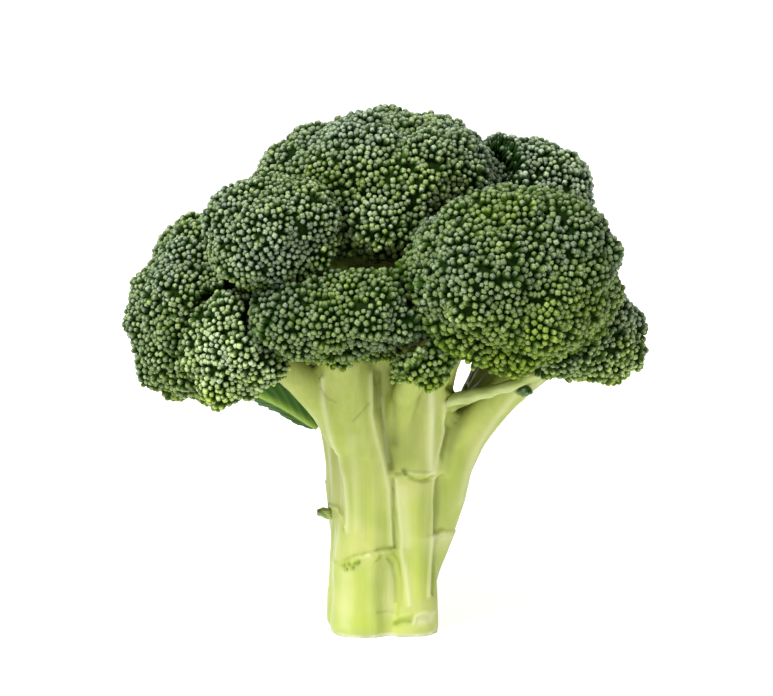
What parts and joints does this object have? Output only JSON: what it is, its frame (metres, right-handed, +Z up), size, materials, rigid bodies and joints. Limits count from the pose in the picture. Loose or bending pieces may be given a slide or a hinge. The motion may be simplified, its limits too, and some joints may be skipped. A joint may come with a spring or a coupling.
{
  "type": "broccoli head",
  "caption": "Head of broccoli standing on its cut stalk: fused pale branches that part into bun-shaped florets of tight green buds, with a small leaf left at the side.",
  "frame": {"origin": "centre of the flat cut under the stalk", "axes": "+Z up along the stalk, -Y the front, +X to the right seen from the front"},
  "size_m": [0.1612, 0.1323, 0.1596],
  "materials": {
    "stalk_skin": "waxy pale yellow-green plant skin, satin",
    "buds": "tight flower buds, dull green with a faint waxy bloom",
    "leaf": "dark green leaf, soft sheen"
  },
  "bodies": {
    "root": {"stalk": "stalk_skin", "floret_crown": "buds", "floret_front_right": "buds", "floret_upper_left": "buds", "floret_front": "buds", "floret_front_left": "buds", "floret_lower_front": "buds", "floret_back_right": "buds", "floret_far_left": "buds", "floret_right": "buds", "floret_right_front": "buds", "floret_back": "buds", "floret_back_left": "buds", "floret_back_low_right": "buds", "floret_upper_back_left": "buds", "left_leaf": "leaf", "left_leaf_stub": "leaf", "right_bract": "leaf", "right_leaf_stalk": "stalk_skin"}
  },
  "joints": []
}
